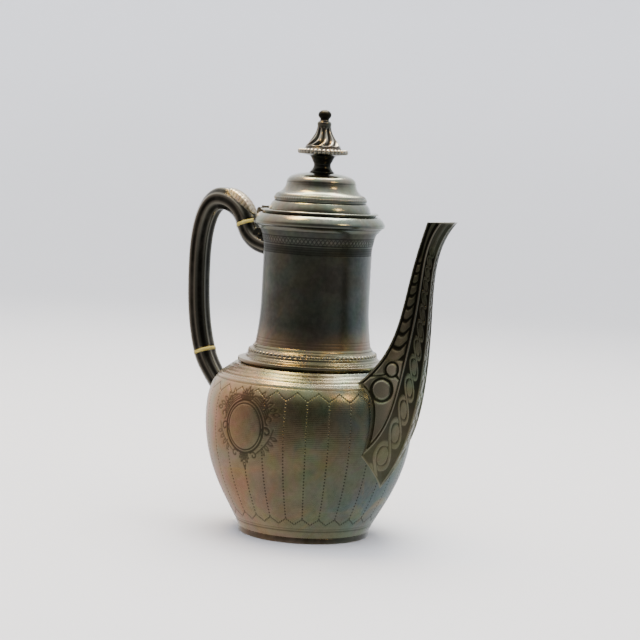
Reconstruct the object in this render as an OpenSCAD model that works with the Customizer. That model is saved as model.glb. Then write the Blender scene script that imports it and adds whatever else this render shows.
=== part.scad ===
// Silver coffee pot: ovoid body, straight neck, hinged stepped lid with a beaded finial,
// six-sided S-curved spout and a hollow eight-sided handle with two insulating rings.
// Origin: centre of the flat base. +X points to the spout, -X to the handle, +Z up.
// All sizes are in millimetres.

/* [Body] */
// Outer radius of the foot ring
foot_r = 37.5; // [37:0.1:38]
// Height of the foot ring
foot_h = 3.2; // [2.6:0.1:3.6]
// Largest outer radius of the body
belly_r = 58.9; // [58.3:0.1:59.5]
// Height of the largest radius
belly_z = 66; // [65:0.5:67]
// Outer radius at the top of the shoulder
shoulder_r = 43.2; // [42.8:0.1:43.6]
// Height of the top of the shoulder
shoulder_z = 96.3; // [96:0.1:96.6]
// Thickness of the silver sheet
wall = 1.1; // [0.9:0.05:1.2]
// Diameter of each hole of the strainer behind the spout
strainer_hole_d = 3; // [2:0.25:3.5]

/* [Neck and rim] */
// Outer radius of the straight part of the neck
neck_r = 30.6; // [30.4:0.1:30.8]
// Inner radius of the neck and of the mouth
mouth_r = 29.5; // [29.3:0.1:29.6]
// Largest radius of the mouth moulding
rim_r = 37.2; // [36.8:0.1:37.4]
// Height of the mouth, where the lid rests
mouth_z = 181.6; // [181.5:0.1:181.7]

/* [Lid] */
// Radius of the lid's flange
lid_r = 33.45; // [33.2:0.05:33.6]
// Radial clearance of the lid's bezel in the mouth
bezel_gap = 0.6; // [0.5:0.05:0.8]
// Height of the flat top of the dome
dome_top_z = 205; // [204.8:0.1:205.2]
// Number of beads around the finial's disc
bead_count = 36; // [30:1:38]
// Radius of one bead
bead_r = 1.15; // [1.05:0.05:1.2]

/* [Hinge] */
// Distance of the hinge axis behind the pot's axis
hinge_x = 39.8; // [39.6:0.1:40.2]
// Height of the hinge axis
hinge_z = 181.9; // [181.8:0.1:182]
// Outer radius of the knuckles
knuckle_r = 1.6; // [1.5:0.05:1.65]
// Radius of the hinge pin
pin_r = 0.8; // [0.7:0.05:0.9]
// Radial running clearance of the lid's knuckles on the pin
pin_gap = 0.05; // [0.02:0.01:0.1]
// Width of the whole hinge
hinge_w = 12; // [11:0.5:13]

/* [Handle] */
// Size of the eight-sided handle across its flats
grip_af = 12.8; // [12.4:0.1:13]
// Size across flats of the hollow inside the handle
grip_bore_af = 10.4; // [10:0.1:10.6]
// Thickness of the visible part of each insulating ring
ring_t = 2.2; // [1.8:0.1:2.4]
// Radius of the insulators' plugs
plug_r = 4.3; // [4:0.1:4.4]
// Length of each plug
plug_l = 7; // [6:0.5:7]
// Radius of the small pins through the insulators
peg_r = 0.75; // [0.6:0.05:0.8]

/* [Spout] */
// Height of the spout's lip
lip_z = 183; // [182:0.5:184]
// Thickness of the spout's wall
spout_wall = 1.2; // [1:0.1:1.3]

/* [Hidden] */
$fn = 96;

silver = "#6f7064";
dark_silver = "#4a4c45";
bone = "#d9c25a";

collar_z = 107.5;                     // top of the shoulder collar
rim_z = 172.6;                        // bottom of the mouth moulding
flange_z = mouth_z + 0.05;            // bottom of the lid's flange
flange_top = 183.5;                   // top of the lid's flange
bezel_r = mouth_r - bezel_gap;        // outer radius of the lid's bezel
lid_wall = 1;                         // thickness of the lid's sheet
seat_r = 38.2;                        // inner radius of the collar's seat
base_r = foot_r - 2.6;                // radius of the base plate

// ---- curves ----
function bez(p, t) = pow(1 - t, 3) * p[0] + 3 * pow(1 - t, 2) * t * p[1]
                   + 3 * (1 - t) * t * t * p[2] + pow(t, 3) * p[3];
function bez_slope(p, t) = 3 * pow(1 - t, 2) * (p[1] - p[0]) + 6 * (1 - t) * t * (p[2] - p[1])
                         + 3 * t * t * (p[3] - p[2]);
function curve(p, n) = [for (i = [0:n]) bez(p, i / n)];
function choose(n, k) = k == 0 ? 1 : choose(n, k - 1) * (n - k + 1) / k;
// Value at u, from 0 to 1, of the smooth curve that the control values c steer
function blend(c, u) = let (n = len(c) - 1)
    [for (k = [0:n]) choose(n, k) * pow(u, k) * pow(1 - u, n - k)] * c;
function reversed(v) = [for (i = [len(v) - 1:-1:0]) v[i]];
function shifted(p, dr, dz) = [for (q = p) [q[0] + dr, q[1] + dz]];
// Arc from angle a0 to a1 around c with radii rx and rz
function arc(c, rx, rz, a0, a1, n) =
    [for (i = [0:n]) let (a = a0 + (a1 - a0) * i / n) [c[0] + rx * cos(a), c[1] + rz * sin(a)]];

// ---- body ----
belly_low = [[foot_r, foot_h], [foot_r + 4.5, foot_h + 11.5], [belly_r, belly_z - 32], [belly_r, belly_z]];
belly_up = [[belly_r, belly_z], [belly_r, belly_z + 22.5], [shoulder_r + 7.6, shoulder_z - 5.7],
            [shoulder_r, shoulder_z]];
function body_outline() = concat(curve(belly_low, 22), [for (i = [1:14]) bez(belly_up, i / 14)]);
// The upper part of the inside drops a little, so that the sloping shoulder keeps its thickness
function body_inside() = concat(
    [for (i = [0:22]) bez(belly_low, i / 22) - [wall, 0]],
    [for (i = [1:14]) bez(belly_up, i / 14) - [wall, wall * i / 14]]);

module body_solid() {
    rotate_extrude() polygon(concat([[0, foot_h]], body_outline(), [[0, shoulder_z]]));
}

// Round holes in three rings, through which the coffee reaches the spout
module strainer_holes() {
    pitch = 6;
    for (row = [-2:2]) for (i = [0:4 - abs(row)])
        translate([40, (i - (4 - abs(row)) / 2) * pitch, belly_z - 4 + row * pitch * sin(60)])
            rotate([0, 90, 0]) cylinder(d = strainer_hole_d, h = 30, $fn = 24);
}

module body_shell() {
    color(silver) difference() {
        rotate_extrude() polygon(concat(body_outline(),
            [[seat_r, shoulder_z], [seat_r, shoulder_z - wall]], reversed(body_inside())));
        strainer_holes();
    }
}

module foot_ring() {
    color(silver) rotate_extrude()
        polygon([[base_r, 0], [foot_r - 0.5, 0], [foot_r - 0.1, 0.5], [foot_r, 1.2], [foot_r, foot_h],
                 [base_r, foot_h]]);
}

module base_plate() {
    color(silver) cylinder(r = base_r, h = 1.2);
}

module shoulder_collar() {
    edge_r = shoulder_r - 0.9;
    color(silver) rotate_extrude() polygon(concat(
        [[seat_r, shoulder_z], [seat_r + 2.2, shoulder_z], [seat_r + 2.2, shoulder_z + 1.1]],
        arc([edge_r - 0.9, shoulder_z + 2], 0.9, 0.9, -90, 80, 6),
        [[37.6, 100.8], [37, 101.3], [36.9, 102.6], [36.2, 103.6]],
        curve([[35.5, 104.3], [34.6, 105.2], [33.7, 106], [33.1, collar_z]], 5),
        [[31.5, collar_z], [31.5, 103.5], [seat_r, shoulder_z + 1.5]]));
}

// Outer radius of the neck: it widens over the collar and again under the mouth
function neck_at(z) = neck_r
    + (z < 138 ? 2.3 * pow((138 - z) / (138 - collar_z), 2.5) : 0)
    + (z > 158 ? 2.6 * pow((z - 158) / (rim_z - 158), 2.6) : 0);
function neck_outline() = concat([for (z = [collar_z:(138 - collar_z) / 10:138.01]) [neck_at(z), z]],
    [for (i = [0:8]) let (z = 158 + (rim_z - 158) * i / 8) [neck_at(z), z]]);

module neck_tube() {
    color(dark_silver) rotate_extrude()
        polygon(concat(neck_outline(), [[mouth_r, rim_z], [mouth_r, 112], [31.5, collar_z]]));
}

function rim_outline() = concat(
    curve([[33.9, rim_z], [34.4, rim_z + 1], [35.2, rim_z + 2.2], [rim_r - 0.5, rim_z + 2.8]], 6),
    [[rim_r, rim_z + 3.3]],
    curve([[rim_r, rim_z + 4], [rim_r, rim_z + 6], [34.6, mouth_z - 0.6], [33, mouth_z]], 8));

module mouth_rim() {
    color(silver) rotate_extrude()
        polygon(concat(rim_outline(), [[mouth_r, mouth_z], [mouth_r, rim_z]]));
}

// ---- lofts ----
// Side faces between rings of n points, in two triangles each, and the two ends
function loft_faces(rings, n) = concat(
    [for (i = [0:rings - 2]) for (k = [0:n - 1]) [i * n + k, (i + 1) * n + (k + 1) % n, i * n + (k + 1) % n]],
    [for (i = [0:rings - 2]) for (k = [0:n - 1]) [i * n + k, (i + 1) * n + k, (i + 1) * n + (k + 1) % n]],
    [[for (k = [0:n - 1]) k]], [[for (k = [n - 1:-1:0]) (rings - 1) * n + k]]);
module loft(rings) {
    polyhedron(points = [for (r = rings) each r], faces = loft_faces(len(rings), len(rings[0])),
               convexity = 6);
}

// ---- spout ----
// Each long edge of the six-sided spout is a curve: x against height, and half-width against height
keel_x = [50, 71.5, 79, 75, 87, 67.5, 92.5];      // outer edge, in the middle plane
low_x = [50, 81.5, 60, 90.5, 64.5, 89];          // lower edge of each side face
low_y = [23, 5, 22.5, 0, 6.5, 7.5];
top_x = [43, 68.5, 65.5, 69, 79.5];              // upper edge of each side face
top_y = [19, 4, 9.5, 4, 7.5];
ridge_rise = 0.42;                               // inner edge: how far it stands off, per half-width
keel_z0 = 30;
low_z0 = 50;
top_z0 = 89;
ridge_z0 = 91;
spout_rings = 26;

// One ring of the spout at w, from 0 at the root to 1 at the lip, with its wall taken in by s
function spout_ring(w, s, lift) = let (
    uk = w, ul = 1 - pow(1 - w, 1.15), ut = 1 - pow(1 - w, 1.65),
    zk = keel_z0 + (lip_z - keel_z0) * uk + lift,
    zl = low_z0 + (lip_z - 0.2 - low_z0) * ul + lift,
    zt = top_z0 + (lip_z - 0.8 - top_z0) * ut + lift,
    zr = ridge_z0 + (lip_z - 1 - ridge_z0) * ut + lift,
    xk = blend(keel_x, uk) - 1.25 * s, xl = blend(low_x, ul) - 0.6 * s, xt = blend(top_x, ut) + 0.6 * s,
    xr = blend(top_x, ut) - ridge_rise * blend(top_y, ut) + 1.25 * s,
    yl = blend(low_y, ul) - s, yt = blend(top_y, ut) - s)
    [[xk, 0, zk], [xl, yl, zl], [xt, yt, zt], [xr, 0, zr], [xt, -yt, zt], [xl, -yl, zl]];

module spout_loft(s, lift) {
    loft(concat([for (i = [0:spout_rings]) spout_ring(i / spout_rings, s, 0)],
                lift > 0 ? [spout_ring(1, s, lift)] : []));
}

module spout() {
    color(dark_silver) difference() {
        spout_loft(0, 0);
        spout_loft(spout_wall, 2);
        body_solid();
    }
}

// ---- handle ----
// Centres of the two insulating rings, and the direction of the handle through each, going up
low_ring = [-81.4, 95.6];
low_dir = [-sin(21.2), cos(21.2)];
top_ring = [-52.9, 173.3];
top_dir = [-sin(20), cos(20)];
grip_side = [-88.9, 148];             // furthest point of the handle's middle line
grip_top = [-71.8, 186.6];            // top of the handle's middle line
half_t = ring_t / 2;

grip_curves = [
    [low_ring + half_t * low_dir, low_ring + 18 * low_dir, grip_side - [0, 17], grip_side],
    [grip_side, grip_side + [0, 25.5], grip_top - [10.3, 0], grip_top],
    [grip_top, grip_top + [9, 0], top_ring + 8 * top_dir, top_ring + half_t * top_dir]];
top_socket_curve = [top_ring - half_t * top_dir, top_ring - 9 * top_dir, [-42, 160.5], [-28, 160.5]];
low_socket_curve = [low_ring - half_t * low_dir, low_ring - 9 * low_dir, [-68, 76], [-54, 64]];

// Eight corners around p, across flats af, for a line that runs along d in the middle plane
function octagon_ring(p, d, af) = let (u = d / norm(d), r = af / 2 / cos(22.5))
    [for (k = [0:7]) let (a = 22.5 + 45 * k)
        [p[0] - u[1] * r * cos(a), -r * sin(a), p[1] + u[0] * r * cos(a)]];
function sweep_rings(p, n, af0, af1, from = 0) =
    [for (i = [from:n]) octagon_ring(bez(p, i / n), bez_slope(p, i / n), af0 + (af1 - af0) * i / n)];
function grip_rings(af) = concat(sweep_rings(grip_curves[0], 10, af, af),
    sweep_rings(grip_curves[1], 14, af, af, 1), sweep_rings(grip_curves[2], 14, af, af, 1));

// Puts its children at a ring's centre, their +Z along the handle and their +X to its outside,
// which is to the left of the direction that goes up at the lower ring, and to its right at the upper
module at_ring(c, d) {
    outside = c == low_ring ? 1 : 0;
    translate([c[0], 0, c[1]]) rotate([0, atan2(d[0], d[1]), 0]) mirror([outside, 0, 0]) children();
}

// Three pins on each side of a ring, on the side faces and on the inside face of the handle
module pegs(length) {
    for (z = [-1, 1]) for (a = [90, 180, 270])
        translate([0, 0, z * 4.3]) rotate([0, 0, a]) rotate([0, 90, 0])
            translate([0, 0, grip_af / 2 - length]) cylinder(r = peg_r, h = length, $fn = 24);
}

module insulator(c, d) {
    color(bone) at_ring(c, d) difference() {
        union() {
            translate([0, 0, -half_t]) rotate([0, 0, 22.5])
                cylinder(r = (grip_af + 0.3) / 2 / cos(22.5), h = ring_t, $fn = 8);
            translate([0, 0, -half_t - plug_l]) cylinder(r = plug_r, h = ring_t + 2 * plug_l, $fn = 48);
        }
        pegs(3);
    }
}
module upper_insulator() { insulator(top_ring, top_dir); }
module lower_insulator() { insulator(low_ring, low_dir); }

module insulator_pins() {
    color("silver") {
        at_ring(top_ring, top_dir) pegs(3);
        at_ring(low_ring, low_dir) pegs(3);
    }
}

// Hollow for the insulator's plug and its pins, in the piece on one side of a ring
module plug_hole(c, d) {
    at_ring(c, d) {
        translate([0, 0, -half_t - plug_l - 0.5]) cylinder(r = plug_r, h = 2 * plug_l + ring_t + 1, $fn = 48);
        pegs(3);
    }
}

module handle_grip() {
    color(dark_silver) difference() {
        loft(grip_rings(grip_af));
        loft(concat([octagon_ring(low_ring, low_dir, grip_bore_af)], grip_rings(grip_bore_af),
                    [octagon_ring(top_ring, -top_dir, grip_bore_af)]));
        at_ring(top_ring, top_dir) pegs(3);
        at_ring(low_ring, low_dir) pegs(3);
    }
}

module neck_solid() {
    rotate_extrude() polygon(concat([[0, collar_z]], neck_outline(), [[0, rim_z]]));
}

// Scroll under the rim: it carries the upper ring and curls against the neck
module upper_socket() {
    color(dark_silver) difference() {
        union() {
            loft(sweep_rings(top_socket_curve, 14, grip_af, 9.5));
            translate([-40.6, 0, 166.8]) rotate([90, 0, 0]) cylinder(r = 4.8, h = 9.6, center = true, $fn = 48);
        }
        plug_hole(top_ring, top_dir);
        neck_solid();
    }
}

module lower_socket() {
    color(dark_silver) difference() {
        loft(sweep_rings(low_socket_curve, 14, grip_af, 10.5));
        plug_hole(low_ring, low_dir);
        body_solid();
    }
}

// Leaf on the outside of the handle's hook. It wraps the outer face and the two beside it
leaf_first = 2;
leaf_last = 13;
function leaf_ring(p, d, c) = let (u = d / norm(d), h = grip_af / 2 + 0.03, f = h * tan(22.5), t = 0.8,
    sec = [[h - c, f + c], [h - c + 0.5 * t, f + c + 0.5 * t], [h + t, f + 0.4 * t],
           [h + t, -f - 0.4 * t], [h - c + 0.5 * t, -f - c - 0.5 * t], [h - c, -f - c], [h, -f], [h, f]])
    [for (q = sec) [p[0] - u[1] * q[0], q[1], p[1] + u[0] * q[0]]];

module thumb_leaf() {
    color(silver) loft([for (i = [leaf_first:leaf_last])
        let (t = i / 14, s = (i - leaf_first) / (leaf_last - leaf_first))
        leaf_ring(bez(grip_curves[2], t), bez_slope(grip_curves[2], t), 0.3 + 2.6 * sin(180 * pow(s, 0.75)))]);
}

// ---- hinge ----
knuckles = 5;
knuckle_pitch = hinge_w / knuckles;
side_gap = 0.15;                      // axial gap between neighbouring knuckles

// Knuckles number first, first + 2, ... around the hinge axis, bored to radius r
module knuckle_row(first, r) {
    for (k = [first:2:knuckles - 1])
        translate([-hinge_x, -hinge_w / 2 + (k + 1) * knuckle_pitch - side_gap / 2, hinge_z])
            rotate([90, 0, 0]) difference() {
                children();
                translate([0, 0, -1]) cylinder(r = r, h = knuckle_pitch + 2, $fn = 48);
            }
}

// Three knuckles on a bracket that stands on the mouth moulding
module hinge_body_leaf() {
    length = knuckle_pitch - side_gap;
    color(silver) union() {
        knuckle_row(0, pin_r) union() {
            cylinder(r = knuckle_r, h = length, $fn = 48);
            translate([-knuckle_r, -3, 0]) cube([2 * knuckle_r, 3, length]);
        }
        difference() {
            translate([-hinge_x - knuckle_r, -hinge_w / 2, hinge_z - 4]) cube([7.6, hinge_w, 1.9]);
            rotate_extrude() polygon(concat([[0, rim_z]], rim_outline(), [[0, mouth_z]]));
        }
    }
}

// Two knuckles on a plate that lies on the lid's flange
module hinge_lid_leaf() {
    length = knuckle_pitch - side_gap;
    plate_front = -29.4;
    plate_back = -hinge_x + knuckle_r + 0.4;
    color(silver) union() {
        knuckle_row(1, pin_r + pin_gap) union() {
            cylinder(r = knuckle_r, h = length, $fn = 48);
            translate([0, flange_top - hinge_z - 1.2, 0]) cube([knuckle_r + 1, 2.2, length]);
        }
        translate([plate_back, -hinge_w / 2, flange_top])
            cube([plate_front - plate_back, hinge_w, 1]);
    }
}

module hinge_pin() {
    color("silver") translate([-hinge_x, hinge_w / 2 + 0.4, hinge_z])
        rotate([90, 0, 0]) cylinder(r = pin_r, h = hinge_w + 0.8, $fn = 48);
}

// ---- lid ----
module lid_flange() {
    color(silver) rotate_extrude()
        polygon([[bezel_r - 1, 176], [bezel_r, 176], [bezel_r, flange_z], [lid_r - 1.5, flange_z],
                 [lid_r - 1.5, flange_top - 0.9], [lid_r - 0.2, flange_top - 0.9],
                 [lid_r, flange_top - 0.6], [lid_r - 0.3, flange_top], [bezel_r - 1, flange_top]]);
}

function dome_outline() = concat(
    curve([[28.8, flange_top], [28.6, 185.5], [27.4, 187.5], [26.5, 188.3]], 6),
    [[25.9, 188.6], [26.1, 189]],
    curve([[26.1, 189.3], [26.2, 190.6], [25.7, 191.9], [24.9, 192.6]], 6),
    curve([[24.6, 192.8], [20.8, 194.4], [20, 197.2], [19.7, 199]], 8),
    curve([[19.6, 199.6], [19.3, 202.6], [15.5, 204.2], [7.2, dome_top_z]], 10));
function dome_inside() = concat([[bezel_r - 1, flange_top]],
    curve([[27.6, 184.5], [27, 186], [25.6, 187], [25, 188.6]], 4),
    curve([[25.2, 189.6], [25.2, 190.8], [24.9, 191.4], [24, 191.8]], 4),
    curve([[23, 192.2], [19.9, 193.6], [18.9, 196.6], [18.6, 199]], 6),
    curve([[18.4, 200], [17.8, 202], [14, 203.2], [7.2, dome_top_z - lid_wall]], 6));

module lid_dome() {
    color(silver) rotate_extrude()
        polygon(concat(dome_outline(), [[stud_r, dome_top_z], [stud_r, dome_top_z - lid_wall]],
                       reversed(dome_inside())));
}

// ---- finial ----
stud_r = 1.6;
spool_top = 214.6;
disc_top = 218.6;
stud_top = 226;
bead_ring_r = 13.2;
bead_z = 216.9;

module finial_spool() {
    color(silver) rotate_extrude()
        polygon(concat([[stud_r, dome_top_z], [7, dome_top_z]],
            curve([[6.9, 205.6], [4.2, 208.2], [4.6, 210.2], [5.5, 211.2]], 7),
            curve([[5.6, 211.5], [6, 212.4], [6.4, 213.6], [7.4, spool_top]], 4),
            [[stud_r, spool_top]]));
}

module finial_disc() {
    color(silver) union() {
        rotate_extrude() polygon(concat([[stud_r, spool_top], [7.6, spool_top]],
            curve([[12, 215.6], [13.4, 216], [13.4, 217.8], [12.2, 218]], 6),
            [[10.8, disc_top], [stud_r, disc_top]]));
        for (i = [0:bead_count - 1]) rotate([0, 0, 360 * i / bead_count])
            translate([bead_ring_r, 0, bead_z]) sphere(r = bead_r, $fn = 24);
    }
}

module finial_bud() {
    color(silver) rotate_extrude()
        polygon(concat([[stud_r, disc_top]],
            curve([[10.4, disc_top], [8.6, 223], [4.2, 225.4], [3.9, 231.5]], 12),
            [[4, 232.6], [3.8, 233.6], [2.7, 234.2], [2.5, 234.8]],
            arc([0, 237.6], 3.75, 2.85, -48, 90, 12),
            [[0, stud_top], [stud_r, stud_top]]));
}

module finial_stud() {
    color("silver") translate([0, 0, 197.5]) cylinder(r = stud_r, h = stud_top - 197.5);
}

module finial_washer() {
    color(silver) rotate_extrude()
        polygon([[stud_r, dome_top_z - 2], [6, dome_top_z - 2], [6, dome_top_z - 1], [stud_r, dome_top_z - 1]]);
}

module finial_nut() {
    color(silver) translate([0, 0, dome_top_z - 5]) difference() {
        cylinder(r = 4, h = 3, $fn = 6);
        translate([0, 0, -1]) cylinder(r = stud_r, h = 5);
    }
}

body_shell();
base_plate();
foot_ring();
shoulder_collar();
neck_tube();
mouth_rim();
spout();
upper_socket();
upper_insulator();
handle_grip();
lower_insulator();
lower_socket();
insulator_pins();
thumb_leaf();
hinge_body_leaf();
hinge_pin();
lid_flange();
lid_dome();
hinge_lid_leaf();
finial_spool();
finial_disc();
finial_bud();
finial_stud();
finial_washer();
finial_nut();
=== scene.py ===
import math

import bmesh
import bpy
import numpy as np
from mathutils import Matrix, Vector


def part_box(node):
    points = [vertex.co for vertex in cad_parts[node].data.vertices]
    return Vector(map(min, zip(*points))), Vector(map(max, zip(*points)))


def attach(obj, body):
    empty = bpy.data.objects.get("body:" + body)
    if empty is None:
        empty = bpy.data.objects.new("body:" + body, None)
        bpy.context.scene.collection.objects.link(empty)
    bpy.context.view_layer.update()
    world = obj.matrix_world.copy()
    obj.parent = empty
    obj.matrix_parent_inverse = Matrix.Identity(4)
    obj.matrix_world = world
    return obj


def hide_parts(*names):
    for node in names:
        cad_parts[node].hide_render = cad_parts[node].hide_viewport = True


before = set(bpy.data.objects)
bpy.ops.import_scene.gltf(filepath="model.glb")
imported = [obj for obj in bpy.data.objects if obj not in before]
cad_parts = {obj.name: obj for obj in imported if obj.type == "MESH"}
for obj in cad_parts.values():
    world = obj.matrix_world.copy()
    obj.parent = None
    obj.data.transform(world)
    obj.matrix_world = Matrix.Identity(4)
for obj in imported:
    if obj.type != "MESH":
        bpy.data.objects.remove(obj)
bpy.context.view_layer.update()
MM = 0.001                            # every size below is in millimetres

# ---- camera, which looks at the pot a little from above and leans a little ----
EYE = Vector((0.6736, -0.8568, 0.2185))
VIEW_AZIMUTH = math.radians(38)       # of the camera, from -Y towards +X
VIEW_PITCH = math.radians(5.07)
VIEW_ROLL = math.radians(3.022)
TO_CAMERA = np.array([math.sin(VIEW_AZIMUTH), -math.cos(VIEW_AZIMUTH), 0])
RIGHT = np.array([math.cos(VIEW_AZIMUTH), math.sin(VIEW_AZIMUTH), 0])


def add_camera():
    right = Vector(RIGHT)
    ahead = Vector(-TO_CAMERA) * math.cos(VIEW_PITCH) - Vector((0, 0, math.sin(VIEW_PITCH)))
    up = right.cross(ahead)
    across = right * math.cos(VIEW_ROLL) + up * math.sin(VIEW_ROLL)
    upward = up * math.cos(VIEW_ROLL) - right * math.sin(VIEW_ROLL)
    data = bpy.data.cameras.new("camera")
    data.sensor_width = 36
    data.lens = 108.4
    camera = bpy.data.objects.new("camera", data)
    bpy.context.scene.collection.objects.link(camera)
    turn = Matrix((across, upward, -ahead)).transposed().to_4x4()
    camera.matrix_world = Matrix.Translation(EYE) @ turn
    bpy.context.scene.camera = camera


# ---- sizes from the frame ----
def high(node, axis):
    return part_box(node)[1][axis] / MM


def low(node, axis):
    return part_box(node)[0][axis] / MM


foot_r, foot_h = high("foot_ring", 0), high("foot_ring", 2)
belly_r, shoulder_z = high("body_shell", 1), high("body_shell", 2)
belly_z = 66
shoulder_r = 43.2
collar_z, rim_z = low("neck_tube", 2), high("neck_tube", 2)
rim_r, mouth_z = high("mouth_rim", 1), high("mouth_rim", 2)
flange_z, flange_top = low("lid_dome", 2) - 1.85, high("lid_flange", 2)
lid_r, bezel_low = high("lid_flange", 1), low("lid_flange", 2)
dome_top = high("lid_dome", 2)
spool_top, disc_top = high("finial_spool", 2), high("finial_disc", 2)
lip_z = high("spout", 2)
wall, mouth_r, neck_r = 1.1, 29.5, 30.6
bezel_r = mouth_r - 0.6


# ---- curves ----
def bezier(p, t):
    p, t = np.array(p, float), np.asarray(t, float)[:, None]
    return (1 - t) ** 3 * p[0] + 3 * (1 - t) ** 2 * t * p[1] + 3 * (1 - t) * t ** 2 * p[2] + t ** 3 * p[3]


def slope(p, t):
    p, t = np.array(p, float), np.asarray(t, float)[:, None]
    return 3 * (1 - t) ** 2 * (p[1] - p[0]) + 6 * (1 - t) * t * (p[2] - p[1]) + 3 * t ** 2 * (p[3] - p[2])


def curve(p, n, skip=0):
    return bezier(p, np.linspace(0, 1, n + 1)[skip:])


def blend(c, u):
    """The smooth curve that the control values c steer, at u from 0 to 1."""
    n = len(c) - 1
    return sum(math.comb(n, k) * u ** k * (1 - u) ** (n - k) * c[k] for k in range(n + 1))


def fillet(points, size, steps=3):
    """An open outline with its corners rounded."""
    points = [np.array(p, float) for p in points]
    out = [points[0]]
    for a, b, c in zip(points, points[1:], points[2:]):
        cut = min(size, np.linalg.norm(b - a) * 0.45, np.linalg.norm(c - b) * 0.45)
        p, q = b + (a - b) / np.linalg.norm(a - b) * cut, b + (c - b) / np.linalg.norm(c - b) * cut
        for t in np.linspace(0, 1, steps):
            out.append((1 - t) ** 2 * p + 2 * t * (1 - t) * b + t * t * q)
    return np.array(out + [points[-1]])


def respaced(points, gap):
    """The same outline with points about gap apart. gap is a number or a function of the height."""
    points = np.array(points, float)
    along = np.r_[0, np.cumsum(np.linalg.norm(np.diff(points, axis=0), axis=1))]
    places, s = [], 0.0
    while s < along[-1]:
        places.append(s)
        z = np.interp(s, along, points[:, 1])
        s += gap(z) if callable(gap) else gap
    places = np.array(places) * along[-1] / s
    places = np.r_[places, along[-1]]
    return np.c_[np.interp(places, along, points[:, 0]), np.interp(places, along, points[:, 1])]


def bump(d, width):
    """1 at d = 0, falling smoothly to 0 at d = width."""
    x = np.clip(np.abs(d) / width, 0, 1)
    return (1 - x * x) ** 2


def step(x, a, b):
    t = np.clip((x - a) / (b - a), 0, 1)
    return t * t * (3 - 2 * t)


# ---- meshes ----
def make(name, points, quads, body, node, material, relief=None):
    """One piece from points in millimetres. relief colours it, from -1 in the deepest groove to 1 on what
    stands proud."""
    mesh = bpy.data.meshes.new(name)
    mesh.vertices.add(len(points))
    mesh.vertices.foreach_set("co", (np.asarray(points) * MM).astype(np.float32).ravel())
    mesh.loops.add(4 * len(quads))
    mesh.loops.foreach_set("vertex_index", np.asarray(quads, np.int32).ravel())
    mesh.polygons.add(len(quads))
    mesh.polygons.foreach_set("loop_start", np.arange(0, 4 * len(quads), 4, dtype=np.int32))
    mesh.update(calc_edges=True)
    values = np.zeros(len(points)) if relief is None else np.asarray(relief)
    shades = mesh.attributes.new("relief", "FLOAT", "POINT")
    shades.data.foreach_set("value", values.astype(np.float32).ravel())
    work = bmesh.new()
    work.from_mesh(mesh)
    bmesh.ops.remove_doubles(work, verts=work.verts, dist=1e-7)
    bmesh.ops.recalc_face_normals(work, faces=work.faces)
    for face in work.faces:
        face.smooth = True
    work.to_mesh(mesh)
    work.free()
    mesh.materials.append(material)
    piece = bpy.data.objects.new(name, mesh)
    bpy.context.scene.collection.objects.link(piece)
    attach(piece, body)
    if node:
        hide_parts(*([node] if isinstance(node, str) else node))
    return piece


def grid_quads(rows, columns, wrap_rows):
    i = np.arange(rows if wrap_rows else rows - 1)[:, None]
    k = np.arange(columns)[None, :]
    a, b = i * columns + k, i * columns + (k + 1) % columns
    c, d = (i + 1) % rows * columns + (k + 1) % columns, (i + 1) % rows * columns + k
    return np.stack([a, b, c, d], -1).reshape(-1, 4)


def revolve(name, outer, inner, turns, shape=None):
    """Points, quads and relief of a turned piece. outer goes up its outside, inner comes back down.
    shape(azimuth, z, r, s) gives the relief on the outside and how far it lifts the surface."""
    outline = np.vstack([outer, inner])
    ahead = np.roll(outline, -1, 0) - np.roll(outline, 1, 0)
    ahead /= np.maximum(np.linalg.norm(ahead, axis=1), 1e-9)[:, None]
    r = outline[:, 0][:, None] + 0 * turns[None, :]
    z = outline[:, 1][:, None] + 0 * turns[None, :]
    azimuth = turns[None, :] + 0 * r
    relief, lift = np.zeros(r.shape), np.zeros(r.shape)
    if shape:
        along = np.r_[0, np.cumsum(np.linalg.norm(np.diff(outer, axis=0), axis=1))]
        n = len(outer)
        relief[:n], lift[:n] = shape(azimuth[:n], z[:n], r[:n], along[:, None] + 0 * r[:n])
        lift[0] = lift[n - 1] = 0
    r = np.maximum(r + lift * ahead[:, 1][:, None], 0)
    z = z - lift * ahead[:, 0][:, None]
    points = np.stack([r * np.cos(azimuth), r * np.sin(azimuth), z], -1).reshape(-1, 3)
    return points, grid_quads(len(outline), len(turns), True), relief.ravel()


def even_turns(n):
    return np.arange(n) * 2 * math.pi / n


def loft(rings, capped=True):
    """Points and quads through rings of equal length, closed at both ends."""
    rings = [np.asarray(r, float) for r in rings]
    if capped:
        rings = [np.repeat(rings[0].mean(0)[None], len(rings[0]), 0)] + rings
        rings.append(np.repeat(rings[-1].mean(0)[None], len(rings[-1]), 0))
    return np.vstack(rings), grid_quads(len(rings), len(rings[0]), not capped)


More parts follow.
